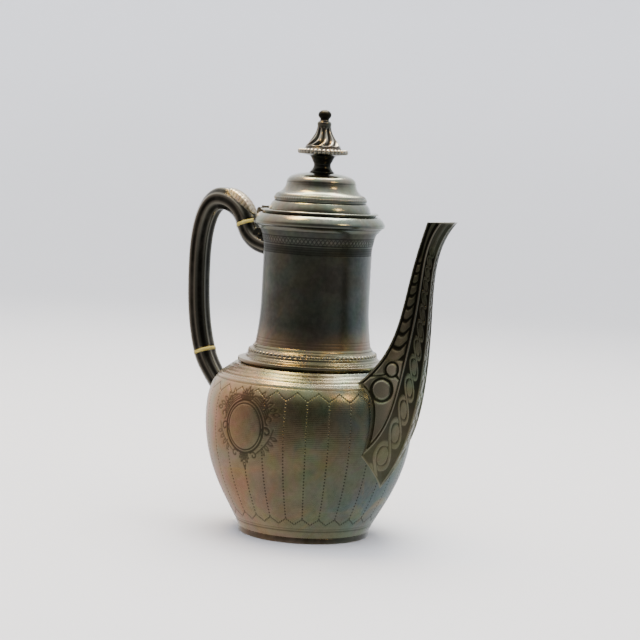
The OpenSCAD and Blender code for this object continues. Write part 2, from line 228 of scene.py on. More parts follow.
# ---- materials ----
class Shader:
    """The nodes of one material."""

    def __init__(self, name, metallic=1.0):
        self.material = bpy.data.materials.new(name)
        self.material.use_nodes = True
        self.tree = self.material.node_tree
        self.surface = self.tree.nodes["Principled BSDF"]
        self.surface.inputs["Metallic"].default_value = metallic
        self.place = self.node("ShaderNodeTexCoord").outputs["Object"]

    def node(self, kind, settings=None, **inputs):
        made = self.tree.nodes.new(kind)
        for key, value in (settings or {}).items():
            setattr(made, key, value)
        for key, value in inputs.items():
            self.put(made.inputs[key.replace("_", " ")], value)
        return made

    def put(self, socket, value):
        if isinstance(value, bpy.types.NodeSocket):
            self.tree.links.new(value, socket)
        elif isinstance(value, tuple) and len(value) == 3 and len(socket.default_value) == 4:
            socket.default_value = (*value, 1)
        else:
            socket.default_value = value

    def math(self, operation, a, b=0.0):
        made = self.tree.nodes.new("ShaderNodeMath")
        made.operation = operation
        self.put(made.inputs[0], a)
        self.put(made.inputs[1], b)
        return made.outputs[0]

    def mix(self, share, a, b, how="MIX"):
        made = self.tree.nodes.new("ShaderNodeMix")
        made.data_type = "RGBA"
        made.blend_type = how
        self.put(made.inputs["Factor"], share)
        self.put(made.inputs[6], a)
        self.put(made.inputs[7], b)
        return made.outputs[2]

    def noise(self, scale, detail=3.0, stretch=(1, 1, 1), warp=0.0):
        """Noise from 0 to 1, of about scale features to the metre."""
        moved = self.node("ShaderNodeMapping", Vector=self.place, Scale=stretch).outputs[0]
        return self.node("ShaderNodeTexNoise", Vector=moved, Scale=float(scale), Detail=float(detail),
                         Distortion=float(warp)).outputs["Fac"]

    def smooth(self, value, a, b):
        """0 where value is a, 1 where it is b, smooth between."""
        made = self.node("ShaderNodeMapRange", {"interpolation_type": "SMOOTHSTEP"}, Value=value)
        made.inputs["From Min"].default_value = a
        made.inputs["From Max"].default_value = b
        return made.outputs[0]

    def axes(self):
        parts = self.node("ShaderNodeSeparateXYZ", Vector=self.place)
        return parts.outputs[0], parts.outputs[1], parts.outputs[2]

    def relief(self):
        return self.node("ShaderNodeAttribute", {"attribute_name": "relief"}).outputs["Fac"]

    def finish(self, colour, roughness, height, depth):
        self.put(self.surface.inputs["Base Color"], colour)
        self.put(self.surface.inputs["Roughness"], roughness)
        lumps = self.node("ShaderNodeBump", Height=height)
        lumps.inputs["Strength"].default_value = 1.0
        lumps.inputs["Distance"].default_value = depth
        self.put(self.surface.inputs["Normal"], lumps.outputs[0])
        return self.material


OLIVE = (0.305, 0.305, 0.21)
COPPER = (0.56, 0.37, 0.255)
TEAL = (0.19, 0.24, 0.245)
GOLD = (0.60, 0.42, 0.18)
SOOT = (0.006, 0.006, 0.005)
BARE_AND_HIGHLIGHT = (0.60, 0.57, 0.49)
SLATE = (0.132, 0.14, 0.128)


def tarnished(name, base, share=(0.5, 0.5, 0.5), rough=0.3, wear_and_highlight=0.5, soot=0.9, dark=None, ruddy=None,
              bloom=0.7, extra=None):
    """Silver with uneven tarnish. share is how much copper, teal and gold bloom there is, wear_and_highlight is
    how far the proud parts are lightened towards bare silver, as wear and as painted highlight, soot is how
    black the grooves are, dark and ruddy are the heights over which it blackens and reddens, bloom is how
    strongly the tarnish colours show, and extra draws fine marks."""
    s = Shader(name)
    x, y, z = s.axes()
    side = s.math("ADD", s.math("MULTIPLY", x, RIGHT[0] / 0.06), s.math("MULTIPLY", y, RIGHT[1] / 0.06))
    big, mid, fine = s.noise(20, 2, warp=0.6), s.noise(75, 4, warp=0.4), s.noise(420, 3)
    cloud = s.math("ADD", s.math("MULTIPLY", big, 0.9), s.math("MULTIPLY", mid, 0.4))
    # copper bloom on one side and towards the foot, teal on the other
    warm = s.math("SUBTRACT", cloud, s.math("ADD", s.math("MULTIPLY", z, 7.5), s.math("MULTIPLY", side, 1.1)))
    warm = s.math("MULTIPLY", s.smooth(warm, 0.22, 1.15), share[0])
    cool = s.math("ADD", s.math("MULTIPLY", side, 0.9), cloud)
    cool = s.math("MULTIPLY", s.smooth(cool, 0.6, 1.3), share[1])
    gold = s.math("MULTIPLY", s.smooth(s.noise(34, 2, warp=1.5), 0.56, 0.74), share[2])
    colour = s.mix(warm, base, COPPER)
    colour = s.mix(cool, colour, TEAL)
    colour = s.mix(gold, colour, GOLD)
    if ruddy:
        colour = s.mix(s.math("MULTIPLY", s.smooth(z, *ruddy), 0.6), colour, COPPER)
    # the faint colours of thin tarnish
    bands = s.smooth(s.noise(30, 3, warp=1.2), 0.36, 0.66)
    colour = s.mix(bloom, colour, s.mix(bands, (1.12, 0.97, 0.83), (0.86, 1.03, 1.05)), "MULTIPLY")
    bands = s.smooth(s.noise(62, 2, warp=1.2), 0.36, 0.64)
    colour = s.mix(bloom, colour, s.mix(bands, (1.06, 0.96, 1.03), (0.96, 1.05, 0.93)), "MULTIPLY")
    patches = s.math("ADD", s.math("MULTIPLY", mid, 0.7), s.math("MULTIPLY", fine, 0.45))
    colour = s.mix(s.smooth(patches, 0.35, 0.85), s.mix(0.22, colour, SOOT), s.mix(0.08, colour, BARE_AND_HIGHLIGHT))
    if dark:
        colour = s.mix(s.math("MULTIPLY", s.smooth(z, *dark), 0.72), colour, (0.02, 0.021, 0.018))
    relief = s.relief()
    groove = s.math("MULTIPLY", s.smooth(s.math("MULTIPLY", relief, -1.0), 0.05, 0.75), soot)
    proud = s.math("MULTIPLY", s.smooth(relief, 0.1, 0.9), wear_and_highlight)
    height = s.math("ADD", s.math("MULTIPLY", fine, 0.25), s.noise(2600, 2, (1, 1, 0.25)))
    if extra:
        marks, ruling = extra(s, x, y, z)
        height = s.math("ADD", height, ruling)
        height = s.math("SUBTRACT", height, s.math("MULTIPLY", marks, 7.0))
        groove = s.math("MAXIMUM", groove, s.math("MULTIPLY", marks, 0.62))
    # proud parts are lightened towards bare silver: wear, and on the handle's arrises, the leaf's rim, the
    # shoulder beads and the cartouche band also a painted highlight
    colour = s.mix(proud, colour, BARE_AND_HIGHLIGHT)
    if dark:
        fuller = s.math("MULTIPLY", s.smooth(z, 0.055, 0.1), 0.45)
        groove = s.math("MULTIPLY", groove, s.math("ADD", fuller, 0.55))
    colour = s.mix(groove, colour, SOOT)
    scuffs = s.noise(900, 4, (1, 1, 0.2))
    roughness = s.math("ADD", rough - 0.08, s.math("MULTIPLY", s.math("ADD", patches, scuffs), 0.1))
    roughness = s.math("ADD", roughness, s.math("MULTIPLY", groove, 0.25))
    roughness = s.math("SUBTRACT", roughness, s.math("MULTIPLY", proud, 0.08))
    return s.finish(colour, roughness, height, 0.00003)


PANELS = 30                           # panels between dotted lines round the body
LINE_TURN = math.radians(-89)         # azimuth of the line in the middle of the cartouche
TOP_VALLEY, TOP_PEAK = 82.0, 86.4     # heights of the zigzag above the panels
LOW_PEAK, LOW_VALLEY = 15.0, 11.6     # heights of the zigzag below them
CARTOUCHE_Z = 65.4


def body_marks(s, x, y, z):
    """Punched dots along the panel lines and zigzags, and the fine turned ruling."""
    turn = s.math("ARCTAN2", y, x)
    panel = s.math("MULTIPLY", s.math("SUBTRACT", turn, LINE_TURN), PANELS / (2 * math.pi))
    part = s.math("SUBTRACT", panel, s.math("ROUND", panel))
    out = s.math("SQRT", s.math("ADD", s.math("MULTIPLY", x, x), s.math("MULTIPLY", y, y)))
    width = s.math("MULTIPLY", out, 2 * math.pi / PANELS / MM)
    across = s.math("MULTIPLY", s.math("ABSOLUTE", part), width)
    mm = s.math("DIVIDE", z, MM)

    def dots(distance, along, pitch, size):
        phase = s.math("SUBTRACT", s.math("FRACT", s.math("DIVIDE", along, pitch)), 0.5)
        dash = s.math("MULTIPLY", phase, pitch)
        near = s.math("SQRT", s.math("ADD", s.math("MULTIPLY", distance, distance),
                                     s.math("MULTIPLY", dash, dash)))
        return s.smooth(near, size, size * 0.45)

    def window(a, b):
        return s.math("MULTIPLY", s.smooth(mm, a - 0.3, a + 0.3), s.smooth(mm, b + 0.3, b - 0.3))

    lines = s.math("MULTIPLY", dots(across, mm, 1.85, 0.62), window(LOW_PEAK, TOP_VALLEY))
    slant = s.math("MULTIPLY", s.math("ABSOLUTE", part), 2.0)
    marks = lines
    for valley, peak, lean in ((TOP_VALLEY, TOP_PEAK, 0.75), (LOW_PEAK, LOW_VALLEY, 0.75)):
        level = s.math("ADD", s.math("MULTIPLY", slant, peak - valley), valley)
        gap = s.math("MULTIPLY", s.math("SUBTRACT", mm, level), lean)
        marks = s.math("MAXIMUM", marks, dots(gap, across, 1.0, 0.5))
    wide = s.math("MULTIPLY", s.math("SUBTRACT", turn, LINE_TURN), belly_r / 14.0)
    tall = s.math("DIVIDE", s.math("SUBTRACT", mm, CARTOUCHE_Z), 17.5)
    off = s.math("ADD", s.math("MULTIPLY", wide, wide), s.math("MULTIPLY", tall, tall))
    marks = s.math("MULTIPLY", marks, s.smooth(off, 0.95, 1.05))
    ruling = s.math("SINE", s.math("MULTIPLY", mm, 2 * math.pi / 1.05))
    lower = s.math("MULTIPLY", window(17, 80), 0.35)
    return marks, s.math("MULTIPLY", ruling, lower)


def neck_marks(s, x, y, z):
    """Faint turned lines round the neck."""
    ruling = s.math("SINE", s.math("MULTIPLY", z, 2 * math.pi / (0.9 * MM)))
    return 0.0, s.math("MULTIPLY", ruling, 0.12)


def bone_material():
    s = Shader("bone", metallic=0.0)
    grain = s.noise(500, 4, (1, 1, 4), warp=0.5)
    stain = s.noise(150, 3)
    colour = s.mix(s.smooth(grain, 0.3, 0.75), (0.22, 0.165, 0.03), (0.33, 0.27, 0.07))
    colour = s.mix(s.smooth(stain, 0.6, 0.8), colour, (0.14, 0.09, 0.02))
    roughness = s.math("ADD", 0.32, s.math("MULTIPLY", grain, 0.2))
    return s.finish(colour, roughness, grain, 0.00005)


def floor_material():
    s = Shader("pale_floor", metallic=0.0)
    colour = s.mix(s.noise(3, 3), (0.60, 0.615, 0.655), (0.64, 0.65, 0.69))
    # painted shade: the floor is darkened a quarter of the way to black, and the darkening fades out by half a
    # metre up the sweep
    colour = s.mix(s.smooth(s.axes()[2], 0.0, 0.5), s.mix(0.24, colour, (0.02, 0.02, 0.02)), colour)
    return s.finish(colour, 0.75, s.noise(60, 2), 0.0003)


materials = {
    "body": tarnished("tarnished_body", OLIVE, (0.95, 0.85, 0.35), 0.25, 0.3, 0.65, bloom=0.9,
                      extra=body_marks),
    "foot": tarnished("tarnished_foot", (0.07, 0.061, 0.047), (0.3, 0.3, 0.1), 0.28, 0.2),
    "collar": tarnished("tarnished_collar", (0.32, 0.275, 0.19), (0.5, 0.2, 0.7), 0.22, 0.35),
    "neck": tarnished("tarnished_neck", SLATE, (0.12, 0.3, 0.08), 0.28, 0.2, 0.6, ruddy=(0.122, 0.107),
                      extra=neck_marks),
    "rim": tarnished("tarnished_rim", (0.31, 0.313, 0.27), (0.15, 0.7, 0.3), 0.16, 0.4),
    "lid": tarnished("tarnished_lid", (0.31, 0.315, 0.27), (0.15, 0.7, 0.3), 0.17, 0.55),
    "finial": tarnished("tarnished_finial", (0.2, 0.195, 0.175), (0.1, 0.2, 0.1), 0.15, 0.9),
    "spout": tarnished("tarnished_spout", (0.31, 0.305, 0.2), (0.35, 0.1, 0.3), 0.24, 0.5,
                       dark=(0.088, 0.13)),
    "handle": tarnished("tarnished_handle", (0.015, 0.017, 0.016), (0.02, 0.08, 0.02), 0.18, 0.42),
    "leaf": tarnished("tarnished_leaf", (0.42, 0.385, 0.33), (0.1, 0.1, 0.2), 0.27, 0.3, 0.7),
    "bone": bone_material(),
}


# ---- body ----
belly_low = [[foot_r, foot_h], [foot_r + 4.5, foot_h + 11.5], [belly_r, belly_z - 32], [belly_r, belly_z]]
belly_up = [[belly_r, belly_z], [belly_r, belly_z + 22.5], [shoulder_r + 7.6, shoulder_z - 5.7],
            [shoulder_r, shoulder_z]]
body_line = np.vstack([curve(belly_low, 200), curve(belly_up, 160, 1)])


def body_at(z):
    return np.interp(z, body_line[:, 1], body_line[:, 0])


def body_turns():
    """Azimuths of the body's columns: close together at the panel lines and over the cartouche."""
    offsets = [0, 0.4, 0.85, 1.4] + list(np.linspace(1.4, 10.6, 10)[1:-1]) + [10.6, 11.15, 11.6]
    out = []
    for k in range(PANELS):
        if k in (0, 1, PANELS - 1, PANELS - 2):
            out += list(k * 12 + np.arange(26) * 12 / 26)
        else:
            out += [k * 12 + o for o in offsets]
    return LINE_TURN + np.radians(np.array(out))


def petal(base, angle, length, width):
    """Outline of a pointed petal that starts at base."""
    t = np.linspace(0, 1, 9)
    out = width / 2 * np.sin(math.pi * t ** 0.8)
    a = math.radians(angle)
    along, side = np.array([math.cos(a), math.sin(a)]), np.array([-math.sin(a), math.cos(a)])
    right = base + np.outer(t * length, along) + np.outer(out, side)
    left = base + np.outer(t * length, along) - np.outer(out, side)
    return np.vstack([right, left[::-1]])


def scroll(centre, r0, r1, a0, a1):
    """A spiral round centre, from radius r0 at angle a0 to r1 at a1."""
    t = np.linspace(0, 1, 26)
    a = np.radians(a0 + (a1 - a0) * t)
    r = r0 + (r1 - r0) * t
    return np.c_[centre[0] + r * np.cos(a), centre[1] + r * np.sin(a)]


def oval(a, b, start=0, end=360, n=60):
    t = np.radians(np.linspace(start, end, n))
    return np.c_[a * np.cos(t), b * np.sin(t)]


def cartouche_strokes():
    """(line, half width, depth) of every engraved stroke, in millimetres from the middle of the oval."""
    half = [(scroll((14.6, -1.5), 3.6, 0.7, 235, -150), 0.5, 0.8),
            (scroll((16.2, 5.2), 2.9, 0.6, 250, -60), 0.45, 0.7),
            (scroll((11.4, 12.6), 2.8, 0.6, -60, 260), 0.45, 0.7),
            (scroll((6.6, -15.4), 2.3, 0.5, 150, -190), 0.45, 0.7),
            (bezier([[1.5, 15.5], [7, 19], [13, 16], [15.5, 9.5]], np.linspace(0, 1, 20)), 0.45, 0.7),
            (bezier([[18.8, 0.5], [17, -7], [12, -11], [8.5, -14]], np.linspace(0, 1, 20)), 0.45, 0.6)]
    for k in range(4):
        half.append((oval(14.4 + 1.15 * k, 16.0 + 1.15 * k, 16 + 4 * k, 74 - 5 * k, 14), 0.3, 0.85))
    for k in range(5):
        half.append((petal((9.5 + 2.2 * k, 16.2 - 1.9 * k), 62 - 17 * k, 4.2, 1.8), 0.34, 0.7))
    for k in range(4):
        half.append((petal((17.6 - 1.9 * k, -4.2 - 2.3 * k), -18 - 14 * k, 3.8, 1.6), 0.34, 0.6))
    for k in range(1, 4):
        half.append((petal((0, 14.8), 90 - 24 * k, 6.6 - 0.6 * k, 1.9), 0.36, 0.9))
        half.append((petal((0, -15), -90 + 27 * k, 6.6 - 1.2 * k, 1.7), 0.34, 0.7))
    strokes = [(oval(12.7, 14.3), 0.6, 1.2), (oval(11.2, 12.8), 0.45, 0.9),
               (petal((0, 14.8), 90, 7.0, 2.0), 0.36, 0.9), (petal((0, -15), -90, 9.0, 2.2), 0.36, 0.7)]
    return strokes + half + [(line * [-1, 1], w, d) for line, w, d in half]


def distance_to(line, u, v):
    best = np.full(u.shape, 1e9)
    for a, b in zip(line, line[1:]):
        d = b - a
        t = np.clip(((u - a[0]) * d[0] + (v - a[1]) * d[1]) / max(d @ d, 1e-12), 0, 1)
        best = np.minimum(best, np.hypot(u - a[0] - t * d[0], v - a[1] - t * d[1]))
    return best


def body_shape(azimuth, z, r, s):
    part = (azimuth - LINE_TURN) * PANELS / (2 * math.pi)
    part = np.abs(part - np.round(part))
    across = part * 2 * math.pi / PANELS * r
    inside = step(z, LOW_PEAK - 0.3, LOW_PEAK) * step(z, TOP_VALLEY + 0.3, TOP_VALLEY)
    groove = 0.16 * bump(across, 0.7) * inside
    for valley, peak in ((TOP_VALLEY, TOP_PEAK), (LOW_PEAK, LOW_VALLEY)):
        groove = np.maximum(groove, 0.18 * bump(z - valley - (peak - valley) * 2 * part, 0.8))
    # turned lines: two at the foot, two beads and two fine grooves on the shoulder; the beads stand proud and
    # are painted lighter, partly as polish and partly as a painted highlight
    for level, depth in ((7.4, 0.8), (8.9, 0.5), (88.4, 0.75), (91.6, 0.75), (93.3, 0.4), (95.0, 0.5)):
        groove = np.maximum(groove, depth * bump(z - level, 0.55))
    ridge = 0.8 * np.maximum(bump(z - 89.4, 0.9), bump(z - 90.8, 0.8))
    # the cartouche
    turn = (azimuth - LINE_TURN + math.pi) % (2 * math.pi) - math.pi
    u, v = turn * belly_r, z - CARTOUCHE_Z
    near = (np.abs(u) < 24) & (v > -27) & (v < 25)
    un, vn = u[near], v[near]
    cut, shape = np.zeros(un.shape), np.zeros(un.shape)
    within = (un / 11.2) ** 2 + (vn / 12.8) ** 2 < 1
    band = ((un / 12.7) ** 2 + (vn / 14.3) ** 2 < 1) & ~within
    for line, width, depth in cartouche_strokes():
        cut = np.maximum(cut, depth * bump(distance_to(line, un, vn), width + 0.35))
    clear = groove[near] * np.where(within | band, 0, 1)
    # the band round the oval stands a little proud and is painted lighter: partly polish, partly a painted
    # highlight
    shape[band] = 0.5
    groove[near] = np.maximum(clear, cut)
    ridge[near] = np.maximum(ridge[near], shape * (1 - cut))
    relief = ridge * (1 - groove) - groove
    return relief, -0.24 * groove + 0.16 * ridge


def row_gap(z):
    if z < 17 or z > 88:
        return 0.62
    return 1.1 if z < 37 else 0.47


def add_body():
    outer = respaced(body_line, row_gap)
    inside = np.vstack([curve(belly_low, 8) - [wall, 0], curve(belly_up, 6, 1) - [wall, 0]])
    inside[9:, 1] -= wall * np.arange(1, 7) / 6
    inner = np.vstack([[[shoulder_r - 5, shoulder_z], [shoulder_r - 5, shoulder_z - wall]], inside[::-1]])
    points, quads, relief = revolve("body", outer, inner, body_turns(), body_shape)
    make("body_shell_detail", points, quads, "pot", "body_shell", materials["body"], relief)
    ring = fillet([[foot_r - 2.6, foot_h], [foot_r - 2.6, 0], [foot_r - 0.4, 0], [foot_r, 1.0],
                   [foot_r + 0, foot_h - 0.4], [foot_r - 0.2, foot_h]], 0.5, 4)
    points, quads, relief = revolve("foot", ring, ring[:1], even_turns(192))
    make("foot_ring_detail", points, quads, "pot", "foot_ring", materials["foot"], relief)


# ---- collar, neck, rim ----
COLLAR_BEADS, LID_BEADS, DISC_BEADS = 78, 96, 36


def add_collar():
    edge_r = shoulder_r - 0.9
    outer = fillet([[shoulder_r - 5, shoulder_z], [shoulder_r - 2.8, shoulder_z],
                    [shoulder_r - 2.8, shoulder_z + 1.1], [edge_r, shoulder_z + 1.1],
                    [edge_r, shoulder_z + 2.8], [38.6, 99.9], [38, 100.2], [37.7, 101.1], [36.9, 101.4],
                    [36.9, 102.7], [36.3, 103.0], [35.9, 104.4], [34.6, 105.2], [33.9, 106.2],
                    [33.1, collar_z]], 0.45)
    outer = respaced(outer, 0.3)
    inner = np.array([[31.5, collar_z], [31.5, 103.5], [shoulder_r - 5, shoulder_z + 1.5]])

    def shape(azimuth, z, r, s):
        phase = azimuth * COLLAR_BEADS / (2 * math.pi)
        part = (phase - np.round(phase)) / COLLAR_BEADS * 2 * math.pi * r
        bead = np.sqrt(np.clip(1 - (part / 1.25) ** 2 - ((z - 103.7) / 0.85) ** 2, 0, 1))
        pit = bump(z - 103.7, 1.1) * (1 - bead)
        groove = np.maximum(0.8 * pit, 0.7 * bump(z - 106.2, 0.35))
        relief = np.where(bead > 0, bead, 0) - groove * (bead <= 0)
        relief = relief + 0.5 * bump(z - 98.6, 0.8) + 0.4 * bump(z - 102.2, 0.5)
        return relief, 0.55 * bead - 0.12 * groove

    points, quads, relief = revolve("collar", outer, inner, even_turns(COLLAR_BEADS * 8), shape)
    make("shoulder_collar_detail", points, quads, "pot", "shoulder_collar",
         materials["collar"], relief)


def neck_at(z):
    low_part = np.clip((138 - z) / (138 - collar_z), 0, 1) ** 2.5
    top_part = np.clip((z - 158) / (rim_z - 158), 0, 1) ** 2.6
    return neck_r + 2.3 * low_part + 2.6 * top_part


LOZENGES = 84


def add_neck():
    low_band, top_band, fine, coarse = 114, 156, 0.32, 1.6
    heights = np.r_[np.arange(collar_z, low_band, fine), np.arange(low_band, top_band, coarse),
                    np.arange(top_band, rim_z, fine), rim_z]
    outer = np.c_[neck_at(heights), heights]
    inner = np.array([[mouth_r, rim_z], [mouth_r, 140], [mouth_r, 112], [31.5, collar_z]])

    def shape(azimuth, z, r, s):
        groove = np.zeros(z.shape)
        for level in (108.3, 109.9, 111.5):
            groove = np.maximum(groove, 0.45 * bump(z - level, 0.45))
        for level in (160.0, 161.3, 162.6, 163.9, 165.2, 169.4):
            groove = np.maximum(groove, 0.85 * bump(z - level, 0.5))
        groove = np.maximum(groove, 0.5 * step(z, 159.5, 160.0) * step(z, 164.4, 163.9))
        phase = azimuth * LOZENGES / (2 * math.pi)
        part = np.abs(phase - np.round(phase)) * 2
        lozenge = part + np.abs(z - 167.3) / 1.6
        groove = np.maximum(groove, 0.8 * bump(lozenge - 1, 0.32) * step(np.abs(z - 167.3), 1.9, 1.7))
        ridge = 0.5 * (lozenge < 0.7)
        return ridge - groove, 0.1 * ridge - 0.16 * groove

    points, quads, relief = revolve("neck", outer, inner, even_turns(LOZENGES * 8), shape)
    make("neck_tube_detail", points, quads, "pot", "neck_tube", materials["neck"], relief)


def add_rim():
    outer = np.vstack([
        curve([[33.9, rim_z], [34.4, rim_z + 1], [35.2, rim_z + 2.2], [rim_r - 0.5, rim_z + 2.8]], 14),
        curve([[rim_r - 0.5, rim_z + 2.8], [rim_r, rim_z + 3], [rim_r, rim_z + 3.2], [rim_r, rim_z + 4]], 6, 1),
        curve([[rim_r, rim_z + 4], [rim_r, rim_z + 6], [34.6, mouth_z - 0.6], [33, mouth_z]], 22, 1)])
    inner = fillet([[33, mouth_z], [mouth_r, mouth_z], [mouth_r, rim_z], [33.5, rim_z]], 0.35)

    def shape(azimuth, z, r, s):
        groove = 0.7 * bump(z - rim_z - 2.1, 0.35)
        ridge = 0.7 * bump(z - rim_z - 3.6, 0.9) + 0.4 * bump(z - rim_z - 1.1, 0.5)
        return ridge - groove, -0.1 * groove

    points, quads, relief = revolve("rim", outer, inner, even_turns(288), shape)
    make("mouth_rim_detail", points, quads, "pot", "mouth_rim", materials["rim"], relief)


# ---- lid ----
def add_lid():
    ring = fillet([[bezel_r - 1, flange_top], [bezel_r - 1, bezel_low], [bezel_r, bezel_low],
                   [bezel_r, flange_z], [lid_r - 1.5, flange_z], [lid_r - 1.5, flange_top - 0.9],
                   [lid_r, flange_top - 0.9], [lid_r, flange_top - 0.35], [lid_r - 0.5, flange_top],
                   [bezel_r - 1, flange_top]], 0.25)
    points, quads, _ = revolve("flange", respaced(ring, 0.5), ring[:1], even_turns(288))
    relief = np.where(np.hypot(points[:, 0], points[:, 1]) > lid_r - 0.6, 0.7, 0.0)
    make("lid_flange_detail", points, quads, "lid", "lid_flange", materials["lid"], relief)

    outer = np.vstack([
        curve([[28.8, flange_top], [28.6, 185.5], [27.4, 187.5], [26.5, 188.3]], 20),
        [[26.0, 188.45], [25.9, 188.7], [26.1, 189]],
        curve([[26.1, 189.3], [26.2, 190.6], [25.7, 191.9], [24.9, 192.6]], 20),
        curve([[24.6, 192.8], [20.8, 194.4], [20, 197.2], [19.7, 199]], 20),
        curve([[19.6, 199.6], [19.3, 202.6], [15.5, 204.2], [7.2, dome_top]], 24)])
    outer = respaced(outer, 0.38)
    inner = np.vstack([
        [[1.6, dome_top], [1.6, dome_top - 1]],
        curve([[18.6, 200], [17.8, 202], [14, 203.2], [7.2, dome_top - 1]], 6)[::-1],
        curve([[23, 192.2], [19.9, 193.6], [18.9, 196.6], [18.6, 199]], 6)[::-1],
        [[25, 190.4], [25, 188.6]],
        curve([[27.6, 184.5], [27, 186], [25.6, 187], [25, 188.6]], 4)[::-1][1:],
        [[bezel_r - 1, flange_top]]])

    def shape(azimuth, z, r, s):
        phase = azimuth * LID_BEADS / (2 * math.pi)
        part = (phase - np.round(phase)) / LID_BEADS * 2 * math.pi * r
        bead = np.sqrt(np.clip(1 - (part / 0.8) ** 2 - ((z - 190.6) / 0.75) ** 2, 0, 1))
        pit = bump(z - 190.6, 1.0) * (bead <= 0)
        # slanting leaves above the beads
        leaf = 0.5 + 0.5 * np.sin(azimuth * LID_BEADS - (z - 192) * 2.2)
        leafy = step(z, 191.5, 191.9) * step(z, 193.4, 192.9)
        groove = np.maximum(0.7 * pit, 0.8 * bump(z - 188.65, 0.45))
        groove = np.maximum(groove, 0.5 * leafy * (1 - leaf))
        groove = np.maximum(groove, 0.6 * bump(z - 199.3, 0.3))
        ridge = np.maximum(bead, 0.5 * leafy * leaf)
        ridge = np.maximum(ridge, 0.5 * bump(z - 184.0, 0.4))
        return ridge - groove, 0.3 * bead + 0.1 * leafy * (leaf - 0.5) - 0.12 * groove * (bead <= 0)

    points, quads, relief = revolve("dome", outer, inner, even_turns(LID_BEADS * 7), shape)
    make("lid_dome_detail", points, quads, "lid", "lid_dome", materials["lid"], relief)


def add_finial():
    outer = np.vstack([
        [[7, dome_top]], curve([[6.9, 205.6], [4.2, 208.2], [4.6, 210.2], [5.5, 211.2]], 20),
        curve([[5.6, 211.5], [6, 212.4], [6.4, 213.6], [7.4, spool_top]], 12)])
    points, quads, _ = revolve("spool", outer, np.array([[1.6, spool_top], [1.6, dome_top]]), even_turns(96))
    make("finial_spool_detail", points, quads, "lid", "finial_spool", materials["handle"])

    bead_r, ring_r, bead_z = 1.15, 13.2, 216.9
    outer = np.vstack([[[7.6, spool_top]],
                       curve([[7.8, spool_top + 0.1], [12, 215.4], [12.9, 215.7], [13.1, 216.2]], 12),
                       np.c_[ring_r + 0.25 * np.sin(np.linspace(0, math.pi, 8)), np.linspace(216.2, 217.7, 8)],
                       curve([[12.9, 217.8], [12.4, 218.0], [11.6, 218.2], [10.8, disc_top]], 8)])

    def shape(azimuth, z, r, s):
        phase = azimuth * DISC_BEADS / (2 * math.pi)
        part = (phase - np.round(phase)) / DISC_BEADS * 2 * math.pi * ring_r
        away = np.hypot(part, (z - bead_z))
        ball = np.sqrt(np.clip(1 - (away / (bead_r + 0.02)) ** 2, 0, 1)) * (r > 12.3)
        return np.where(ball > 0, ball, -0.8 * (r > 12.3)), 0.95 * ball * (r > 12.3)

    points, quads, relief = revolve("disc", respaced(outer, 0.22), np.array([[1.6, disc_top], [1.6, spool_top]]),
                                    even_turns(DISC_BEADS * 12), shape)
    make("finial_disc_detail", points, quads, "lid", "finial_disc", materials["finial"], relief)

    ball = np.radians(np.linspace(-48, 90, 26))
    outer = np.vstack([
        [[10.4, disc_top]], curve([[10.3, 219.1], [8.6, 223], [4.2, 225.4], [3.9, 231.5]], 46),
        fillet([[3.9, 231.6], [4.1, 232.4], [3.8, 233.6], [2.7, 234.2], [2.5, 234.8]], 0.4),
        np.c_[3.75 * np.cos(ball), 237.6 + 2.85 * np.sin(ball)]])
    outer[-1, 0] = 0

    def flutes(azimuth, z, r, s):
        inside = step(z, 219.9, 221.2) * step(z, 231.2, 229.5)
        twist = 1.3 * np.clip((225.5 - z) / 6, 0, 1) ** 2
        wave = np.cos(10 * (azimuth + twist * 0.5))
        deep = 0.3 + 0.035 * r ** 1.5
        groove = inside * np.clip(-wave, 0, 1)
        ridge = inside * np.clip(wave, 0, 1)
        ring = bump(z - 219.5, 0.45)
        relief = 0.8 * ridge - 0.9 * groove - 0.8 * ring - 0.78 * (z > 234.6)
        return relief, inside * deep * 0.55 * (wave - 1) - 0.25 * ring

    points, quads, relief = revolve("bud", outer, np.array([[0, 226], [1.6, 226], [1.6, disc_top]]),
                                    even_turns(240), flutes)
    make("finial_bud_detail", points, quads, "lid", "finial_bud", materials["finial"], relief)


# ---- spout ----
keel_x = [50, 71.5, 79, 75, 87, 67.5, 92.5]
low_x, low_y = [50, 81.5, 60, 90.5, 64.5, 89], [23, 5, 22.5, 0, 6.5, 7.5]
top_x, top_y = [43, 68.5, 65.5, 69, 79.5], [19, 4, 9.5, 4, 7.5]
RIDGE_RISE = 0.42
SPOUT_WALL = 1.2


def spout_edges(w, inset=0.0):
    """The keel, the lower, upper and inner edges of the -Y half of the spout at w, from root to lip."""
    ul, ut = 1 - (1 - w) ** 1.15, 1 - (1 - w) ** 1.65
    tx, ty = blend(top_x, ut), blend(top_y, ut)
    keel = np.array([blend(keel_x, w) - 1.25 * inset, 0, 30 + (lip_z - 30) * w])
    lower = np.array([blend(low_x, ul) - 0.6 * inset, inset - blend(low_y, ul), 50 + (lip_z - 50.2) * ul])
    upper = np.array([tx + 0.6 * inset, inset - ty, 89 + (lip_z - 89.8) * ut])
    ridge = np.array([tx - RIDGE_RISE * ty + 1.25 * inset, 0, 91 + (lip_z - 92) * ut])
    return keel, lower, upper, ridge


def waves(z):
    """Counts the scrolls up the side face: whole at each dark groove between two."""
    return (8.3 - np.sqrt(np.maximum(8.3 ** 2 - 0.76 * (z - 106.8), 0.1))) / 0.38


